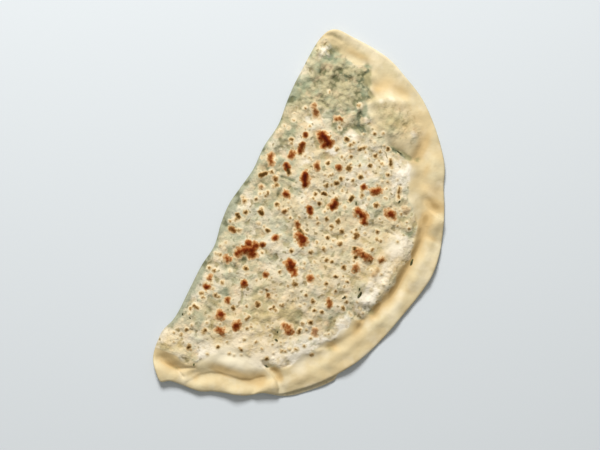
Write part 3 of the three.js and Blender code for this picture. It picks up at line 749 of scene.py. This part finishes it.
def dough_shell():
    """The closed shell, flat so far: x and y in mm, and z the level from the underside's 0 to
    the top's 1."""
    edge = Edge()
    bm = bmesh.new()
    place = bm.verts.layers.int.new("place round the edge")
    border, _ = edge.ring(0)
    verts = fitted_grid(bm, border, LENGTH_STEPS, WIDTH_STEPS)
    for number, index in enumerate(border_order(LENGTH_STEPS, WIDTH_STEPS)):
        verts[index][place] = number
    for vert in verts:
        vert.co.z = 1
    edges = [e for e in bm.edges if e.is_boundary]
    for number in range(1, len(RIM_RINGS)):
        border, level = edge.ring(number)
        made = bmesh.ops.extrude_edge_only(bm, edges=edges)["geom"]
        edges = [e for e in made if isinstance(e, bmesh.types.BMEdge) and e.is_boundary]
        for vert in {vert for e in edges for vert in e.verts}:
            vert.co = (*border[vert[place]], level[vert[place]])
    # Sorted, so that each run numbers the vertices alike.
    last = sorted({vert for e in edges for vert in e.verts}, key=lambda vert: vert[place])
    skipped = [vert for vert in last if vert[place] % UNDERSIDE_COARSER]
    kept = [vert for vert in last if not vert[place] % UNDERSIDE_COARSER]
    bmesh.ops.dissolve_verts(bm, verts=skipped)
    columns, rows = LENGTH_STEPS // UNDERSIDE_COARSER, WIDTH_STEPS // UNDERSIDE_COARSER
    under = fitted_grid(bm, border[::UNDERSIDE_COARSER], columns, rows)
    meeting = kept + [under[index] for index in border_order(columns, rows)]
    bmesh.ops.remove_doubles(bm, verts=meeting, dist=SAME_PLACE)
    bmesh.ops.recalc_face_normals(bm, faces=bm.faces)
    return bm


def link(name, data):
    """A new object in the scene, from its mesh, lamp or camera."""
    made = bpy.data.objects.new(name, data)
    bpy.context.scene.collection.objects.link(made)
    return made


def add_object(name, bm):
    mesh = bpy.data.meshes.new(name)
    bm.to_mesh(mesh)
    bm.free()
    mesh.polygons.foreach_set("use_smooth", [True] * len(mesh.polygons))
    return link(name, mesh)


def read_places(mesh):
    """The x, the y and the z of all the vertices."""
    places = np.empty(len(mesh.vertices) * 3)
    mesh.vertices.foreach_get("co", places)
    return places.reshape(-1, 3).T


def write_places(mesh, x, y, z):
    """Puts the vertices at places in mm, which are turned to metres round the box's middle."""
    curve = outline_curve()
    middle = (curve.min(axis=0) + curve.max(axis=0)) / 2
    places = np.column_stack([x - middle[0], y - middle[1], z]) * MM
    mesh.vertices.foreach_set("co", places.ravel())
    mesh.update()


def add_field(mesh, name, values):
    mesh.attributes.new(name, "FLOAT", "POINT").data.foreach_set("value", values.astype(float))


def qutab():
    """The dough with everything that is pressed, folded and baked into it."""
    made = add_object("qutab_dough", dough_shell())
    mesh = made.data
    x, y, level = read_places(mesh)
    surface = Surface(x, y)
    marks = Marks(x, y, top_blisters())
    write_places(mesh, x, y, mix(surface.underside(), surface.top(marks), level))
    below = Marks(x, y, underside_blisters())
    on_top = level > TOP_LOOKS_FROM
    add_field(mesh, "blister_depth", np.where(on_top, marks.depth, below.depth))
    add_field(mesh, "browning", np.where(on_top, marks.browning, below.browning))
    add_field(mesh, "blister_width", np.where(on_top, marks.width, below.width))
    for name, share in UNDERSIDE_LOOKS.items():
        add_field(mesh, name, getattr(surface, name) * np.where(on_top, 1, share))
    return made


def leaf_flecks():
    """Bits of chopped leaf that broke through the dough, each draped over it."""
    bm = bmesh.new()
    for x, y, length, width, turn in LEAVES:
        made = bmesh.ops.create_icosphere(bm, subdivisions=3, radius=0.5)["verts"]
        bmesh.ops.scale(bm, verts=made, vec=(length, width, LEAF_THICKNESS))
        turning = Matrix.Rotation(math.radians(turn), 3, "Z")
        bmesh.ops.rotate(bm, verts=made, cent=(0, 0, 0), matrix=turning)
        bmesh.ops.translate(bm, verts=made, vec=(x, y, 0))
    made = add_object("leaf_flecks", bm)
    x, y, z = read_places(made.data)
    along_x, along_y, upwards = LEAF_CRUMPLING
    x, y = x + layered(x, y, along_x), y + layered(x, y, along_y)
    z = z + Surface(x, y).top(Marks(x, y, top_blisters())) + layered(x, y, upwards)
    write_places(made.data, x, y, z)
    return made


# ---------------------------------------------------------------------------------------------
# Materials
# ---------------------------------------------------------------------------------------------

RANGE_SOCKETS = "Value", "From Min", "From Max", "To Min", "To Max"
SHARE, FIRST, SECOND = 0, 6, 7  # a Mix node's sockets for colours, whose names aren't unique


def linear(hex_colour):
    """An sRGB hex colour as linear red, green, blue and an alpha of 1."""
    channels = [int(hex_colour[i : i + 2], 16) / 255 for i in (1, 3, 5)]
    return [c / 12.92 if c <= 0.04045 else ((c + 0.055) / 1.055) ** 2.4 for c in channels] + [1]


def add_node(tree, kind, inputs=(), **settings):
    """Adds a node with its settings. Inputs are values, hex colours, outputs to link from, or
    nodes whose first output in use is linked."""
    made = tree.nodes.new("ShaderNode" + kind)
    for name, value in settings.items():
        setattr(made, name, value)
    for socket, value in dict(inputs).items():
        if isinstance(value, bpy.types.Node):
            value = next(output for output in value.outputs if output.enabled)
        if isinstance(value, bpy.types.NodeSocket):
            tree.links.new(value, made.inputs[socket])
        else:
            made.inputs[socket].default_value = linear(value) if isinstance(value, str) else value
    return made


def new_material(name, surface):
    """A material whose shader inputs come from surface(tree)."""
    material = bpy.data.materials.new(name)
    material.use_nodes = True
    tree = material.node_tree
    tree.nodes.clear()
    shader = add_node(tree, "BsdfPrincipled", surface(tree))
    add_node(tree, "OutputMaterial", {"Surface": shader})
    return material


# What the mesh tells the dough's material at each vertex.
FIELDS = (
    "golden", "greens", "flour", "smooth", "tan", "lumps", "stretched", "browning",
    "blister_depth", "blister_width",
)

# Noise for the dough's colours: how wide its spots are in mm, detail and roughness. The pores
# are dark specks of painted shade in tiny holes.
SPECKLES = {
    "coarse": (8, 3, 0.5), "medium": (2, 3, 0.6), "fine": (0.75, 2, 0.6), "cool": (4.6, 2, 0.5),
    "warm": (3.2, 2, 0.5), "pore_shade": (1.1, 0, 0.5),
}

# Colours of a small blister and of a large one, from its pale ring to its middle. The pale ring
# is partly a painted highlight of the blister's dome, and the tan just inside it partly painted
# shade, laid evenly all round.
SMALL_BLISTER = [
    (-1.5, "#e3d7b7"), (-0.9, "#dbc9a3"), (-0.5, "#c4a97b"), (-0.1, "#98794a"), (0.2, "#77592e"),
    (0.5, "#60461f"), (0.9, "#4a310c"),
]
LARGE_BLISTER = [
    (-2.1, "#e4cfa8"), (-1.3, "#d6b588"), (-0.6, "#bd9262"), (0.0, "#a57040"), (0.6, "#8b4c1e"),
    (1.1, "#79330a"), (1.8, "#642200"), (2.6, "#4a0f00"),
]


class Sources:
    """What the dough's colours come from, by name: the mesh's fields, speckles, and what is
    made from these."""

    def __init__(self, tree):
        self.tree = tree
        place = add_node(tree, "TexCoord").outputs["Object"]
        self.found = {
            name: add_node(tree, "Attribute", attribute_name=name).outputs["Fac"]
            for name in FIELDS
        }
        for name, (across, detail, roughness) in SPECKLES.items():
            scale = HALF_WAVE / (across * MM)
            inputs = {"Vector": place, "Scale": scale, "Detail": detail, "Roughness": roughness}
            self.found[name] = add_node(tree, "TexNoise", inputs)

    def combined(self, operation, *terms):
        """Adds or multiplies sources, each given by its name alone, or taken smoothly from a
        low and a high to what these turn to."""
        result = None
        for term in terms:
            if isinstance(term, str):
                value = self.found[term]
            else:
                inputs = zip(RANGE_SOCKETS, (self.found[term[0]], *term[1:]))
                value = add_node(self.tree, "MapRange", inputs, interpolation_type="SMOOTHSTEP")
            if result:
                value = add_node(self.tree, "Math", {0: result, 1: value}, operation=operation)
            result = value
        return result

    def add(self, name, operation, *terms):
        self.found[name] = self.combined(operation, *terms)

    def washed(self, colour, *washes):
        """Lays washes over a colour in turn: the source's name, where it starts and where it is
        full, its strength, and its colour."""
        for name, start, full, strength, wash in washes:
            inputs = zip(RANGE_SOCKETS, (self.found[name], start, full, 0, strength))
            share = add_node(self.tree, "MapRange", inputs, interpolation_type="SMOOTHSTEP")
            inputs = {SHARE: share, FIRST: colour, SECOND: wash}
            colour = add_node(self.tree, "Mix", inputs, data_type="RGBA")
        return colour


def filled_part(source):
    """Cream, darker olive in the hollows between the lumps, which is partly the greens and partly
    painted shade, dark specks of painted shade in tiny holes, grey-green over the greens and
    along the fold, and white where it is floured or where a painted highlight lies."""
    # The pits are olive in the hollows between the lumps: partly the greens, partly painted
    # shade.
    source.add("pit_shade_and_olive", "ADD", ("lumps", 0.1, -0.6, -0.4, 0.9), ("fine", 0.36, 0.64, -0.15, 0.15))
    source.add("thinned", "ADD", "stretched", ("medium", 0.3, 0.7, -0.25, 0.25))
    source.add("flour_and_highlight_wash", "ADD", "flour", ("medium", 0.35, 0.65, -0.2, 0.2))
    beads = ("blister_depth", -0.6, 0.4, 0, 1), ("browning", 0.36, 0.34, 0, 1)
    source.add("beads", "MULTIPLY", *beads)
    leafy = source.washed(
        "#b3ab86", ("pit_shade_and_olive", -0.6, 0.9, 1, "#6e6f50"), ("cool", 0.45, 0.65, 0.55, "#8a9c84"),
        ("warm", 0.5, 0.7, 0.6, "#d0b996"), ("green", 0.8, 1.3, 1, "#545c40"),
        ("beads", 0, 1, 0.5, "#beb793"),
    )
    fold = source.washed("#9ba089", ("pit_shade_and_olive", -0.6, 0.9, 1, "#646951"))
    return source.washed(
        "#d5c6a2", ("coarse", 0.38, 0.62, 1, "#e4dac3"), ("pit_shade_and_olive", -0.3, 0.9, 0.85, "#aa9d72"),
        # Pores: dark specks of painted shade in tiny holes.
        ("pore_shade", 0.64, 0.75, 0.85, "#85744b"), ("cool", 0.46, 0.66, 0.55, "#b6bb9d"),
        ("warm", 0.52, 0.7, 0.35, "#e3c199"), ("green", 0.05, 0.5, 0.95, leafy),
        # The floury wash is partly painted highlight.
        ("thinned", -0.1, 0.7, 0.9, fold), ("flour_and_highlight_wash", 0.2, 0.8, 0.92, "#fcf5e4"),
        ("golden", 0, 1, 0.45, "#e2c68c"),
    )


def pressed_rim(source):
    """Smooth cream dough, light brown in the finger groove and in creases and hollows, partly its
    own colour and partly painted shade, darkest in the deepest grooves and puckers, and white
    where it is floured or where a painted highlight lies.
    """
    return source.washed(
        "#d4c298", ("coarse", 0.35, 0.65, 1, "#dbcfaa"), ("warm", 0.46, 0.7, 0.3, "#cfb98b"),
        ("cool", 0.48, 0.7, 0.45, "#e6dcc2"), ("medium", 0.42, 0.7, 0.2, "#c8b283"),
        # Flour is partly painted highlight; tan is partly painted shade, darkest in deep grooves.
        ("flour", 0.2, 0.9, 0.9, "#f3ead0"), ("tan", 0, 0.9, 0.85, "#ccb17e"),
        ("tan", 0.9, 1.5, 0.7, "#a58957"), ("green", 0.1, 0.9, 0.8, "#8e8a62"),
    )


def blister_crust(source):
    """A pale ring, then ochre, and brown in the middle, or red-brown on wide blisters. The pale
    ring and the light brown just inside it are partly painted highlight and painted shade of the
    blister's dome, laid evenly all round it. The darkest have the sharpest edge."""
    source.add("grit", "ADD", ("fine", 0.3, 0.7, -0.3, 0.3), ("medium", 0.3, 0.7, -0.4, 0.4))
    source.add("gritty", "MULTIPLY", "grit", ("blister_width", 1.5, 4, 0.5, 1))
    source.add("steep", "MULTIPLY", "blister_depth", ("browning", 0.8, 0.93, 1, 1.5))
    source.add("depth", "ADD", "steep", ("fine", 0.3, 0.7, -0.2, 0.2))
    roasted = source.combined("ADD", "depth", ("browning", 0.3, 1, -0.9, 0.35), "gritty")
    crusts = []
    for stops in (SMALL_BLISTER, LARGE_BLISTER):
        low, high = stops[0][0], stops[-1][0]
        share = add_node(source.tree, "MapRange", zip(RANGE_SOCKETS, (roasted, low, high)))
        crust = add_node(source.tree, "ValToRGB", {"Fac": share})
        elements = crust.color_ramp.elements
        while len(elements) < len(stops):
            elements.new(1)
        for element, (at, colour) in zip(elements, stops):
            element.position, element.color = (at - low) / (high - low), linear(colour)
        crusts.append(crust)
    small, large = crusts
    red = ("blister_width", 1.9, 2.9, 0, 1), ("browning", 0.99, 0.93, 0, 1)
    source.add("reddish", "MULTIPLY", *red)
    return source.washed(small, ("reddish", 0, 1, 1, large))


def baked_dough(tree):
    """Wheat dough, rolled thin and griddle-baked: cream and floured where it touched the griddle,
    light brown and smooth on the rim, grey-green where the greens lie right under it, and brown
    on the blisters. Painted shade darkens its grooves, creases, puckers, hollows and tiny holes,
    and painted highlight lightens a few crests and slopes and the blisters' pale rings. Its fine
    bumps are weaker where it is smooth, floured or painted pale."""
    source = Sources(tree)
    source.add("green", "MULTIPLY", "greens", ("medium", 0.3, 0.7, 0.65, 1.25))
    inner, rim, crust = filled_part(source), pressed_rim(source), blister_crust(source)
    # The pale ring that glow and halo spread round each blister is partly painted highlight.
    source.add("glow", "ADD", "depth", ("blister_width", 2, 4.5, 0, 0.7))
    source.add("halo", "MULTIPLY", ("glow", -2, -0.4, 0, 1), ("browning", 0.25, 0.6, 0, 1))
    bumps = ("fine", 0.2, 0.8, -0.12, 0.12), ("medium", 0.2, 0.8, -0.25, 0.25)
    source.add("bumps", "ADD", *bumps)
    weaker = ("smooth", 0, 1, 1, 0.25), ("flour", 0, 1, 1, 0.5)
    height = source.combined("MULTIPLY", "bumps", *weaker)
    return {
        "Base Color": source.washed(inner, ("smooth", 0, 1, 1, rim), ("halo", 0, 1, 1, crust)),
        "Roughness": source.combined("ADD", ("smooth", 0, 1, 0.85, 0.6)),
        "Normal": add_node(tree, "Bump", {"Height": height, "Distance": 1 * MM, "Strength": 0.8}),
        "Specular IOR Level": 0.12,
    }


def cooked_leaf(tree):
    """Chopped herbs, cooked in the dough: dull, nearly black green, a little lighter where they
    are crumpled."""
    place = add_node(tree, "TexCoord").outputs["Object"]
    scale = HALF_WAVE / (LEAF_SPOTS * MM)
    crumple = add_node(tree, "TexNoise", {"Vector": place, "Scale": scale, "Detail": 2})
    share = add_node(tree, "MapRange", zip(RANGE_SOCKETS, (crumple, 0.38, 0.66)))
    greens = {SHARE: share, FIRST: "#353119", SECOND: "#646840"}
    return {
        "Base Color": add_node(tree, "Mix", greens, data_type="RGBA"),
        "Roughness": 0.6,
        "Specular IOR Level": 0.15,
        "Normal": add_node(tree, "Bump", {"Height": crumple, "Distance": 0.4 * MM}),
    }


def matt_paper(tree):
    """Pale uncoated paper under the bread."""
    return {"Base Color": "#d3dbe2", "Roughness": 0.9}


# ---------------------------------------------------------------------------------------------
# Stage
# ---------------------------------------------------------------------------------------------

FLOOR_SIZE = 3  # m
WINDOW_AZIMUTH, WINDOW_ELEVATION = 217, 41  # degrees, the first from +X
WINDOW_DISTANCE, WINDOW_SIZE = 1.6, 0.5  # m
WINDOW_POWER, WINDOW_COLOUR = 30.5, "#fffbf6"  # W
ROOM_STRENGTH, ROOM_COLOUR = 0.35, "#f8f5ee"
CAMERA_PLACE = (-3, -19, 827.7)  # mm, from where it looks straight down
CAMERA_TURN = 116.57  # degrees
CAMERA_LENS, CAMERA_SENSOR = 85, 36  # mm


def stage():
    bm = bmesh.new()
    bmesh.ops.create_grid(bm, x_segments=1, y_segments=1, size=FLOOR_SIZE / 2)
    floor = add_object("floor", bm)
    floor.data.materials.append(new_material("matt_paper", matt_paper))


def light():
    """A soft window on one side, and the pale room all round."""
    data = bpy.data.lights.new("window", "AREA")
    data.size, data.energy, data.color = WINDOW_SIZE, WINDOW_POWER, linear(WINDOW_COLOUR)[:3]
    window = link("window", data)
    azimuth, elevation = math.radians(WINDOW_AZIMUTH), math.radians(WINDOW_ELEVATION)
    sideways = math.cos(elevation)
    way = (math.cos(azimuth) * sideways, math.sin(azimuth) * sideways, math.sin(elevation))
    window.location = Vector(way) * WINDOW_DISTANCE
    window.rotation_euler = Vector(way).to_track_quat("Z", "Y").to_euler()
    world = bpy.data.worlds.new("room")
    world.use_nodes = True
    background = world.node_tree.nodes["Background"]
    background.inputs["Color"].default_value = linear(ROOM_COLOUR)
    background.inputs["Strength"].default_value = ROOM_STRENGTH
    bpy.context.scene.world = world
    bpy.context.scene.view_settings.view_transform = "Standard"


def camera():
    data = bpy.data.cameras.new("camera")
    data.lens, data.sensor_width = CAMERA_LENS, CAMERA_SENSOR
    made = link("camera", data)
    made.location = Vector(CAMERA_PLACE) * MM
    made.rotation_euler = (0, 0, math.radians(CAMERA_TURN))
    bpy.context.scene.camera = made


dough = qutab()
dough.data.materials.append(new_material("griddle_baked_wheat_dough", baked_dough))
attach(dough, "root")
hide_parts("qutab")
leaves = leaf_flecks()
leaves.data.materials.append(new_material("cooked_chopped_herbs", cooked_leaf))
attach(leaves, "root")
stage()
light()
camera()
